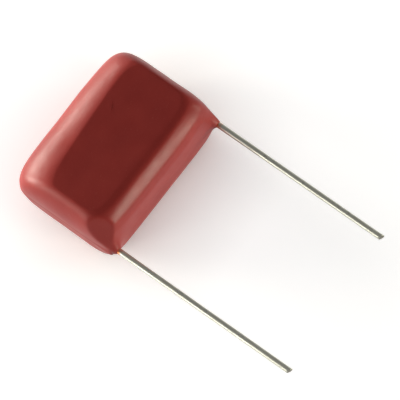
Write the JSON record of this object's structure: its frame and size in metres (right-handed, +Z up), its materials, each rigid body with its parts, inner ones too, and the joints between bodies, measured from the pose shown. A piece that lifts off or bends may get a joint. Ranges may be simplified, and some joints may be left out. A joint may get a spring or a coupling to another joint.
{
  "type": "dipped film capacitor",
  "caption": "Flat block-shaped film capacitor in a dipped epoxy coat, with two straight tinned wire leads from one long side.",
  "frame": {"origin": "in the broad flat face that it rests on, under the middle of the winding and midway between the two leads", "axes": "+Z up, square to the broad faces; X along the pitch of the leads; -Y along the leads, towards their free ends"},
  "size_m": [0.0218, 0.0428, 0.011],
  "materials": {
    "epoxy_coat": "semi-gloss dipped epoxy, slightly uneven",
    "metallised_film": "satin, metallised polypropylene",
    "wrap_film": "glossy, straw-tinted clear film",
    "sprayed_metal": "rough, sprayed zinc",
    "solder": "bright, slightly grained solder",
    "tinned_wire": "bright tin, drawn along its length"
  },
  "bodies": {
    "root": {"epoxy_coat": "epoxy_coat", "film_winding": "metallised_film", "outer_wrap": "wrap_film", "end_spray_left": "sprayed_metal", "end_spray_right": "sprayed_metal", "solder_left": "solder", "solder_right": "solder", "lead_left": "tinned_wire", "lead_right": "tinned_wire"}
  },
  "joints": []
}
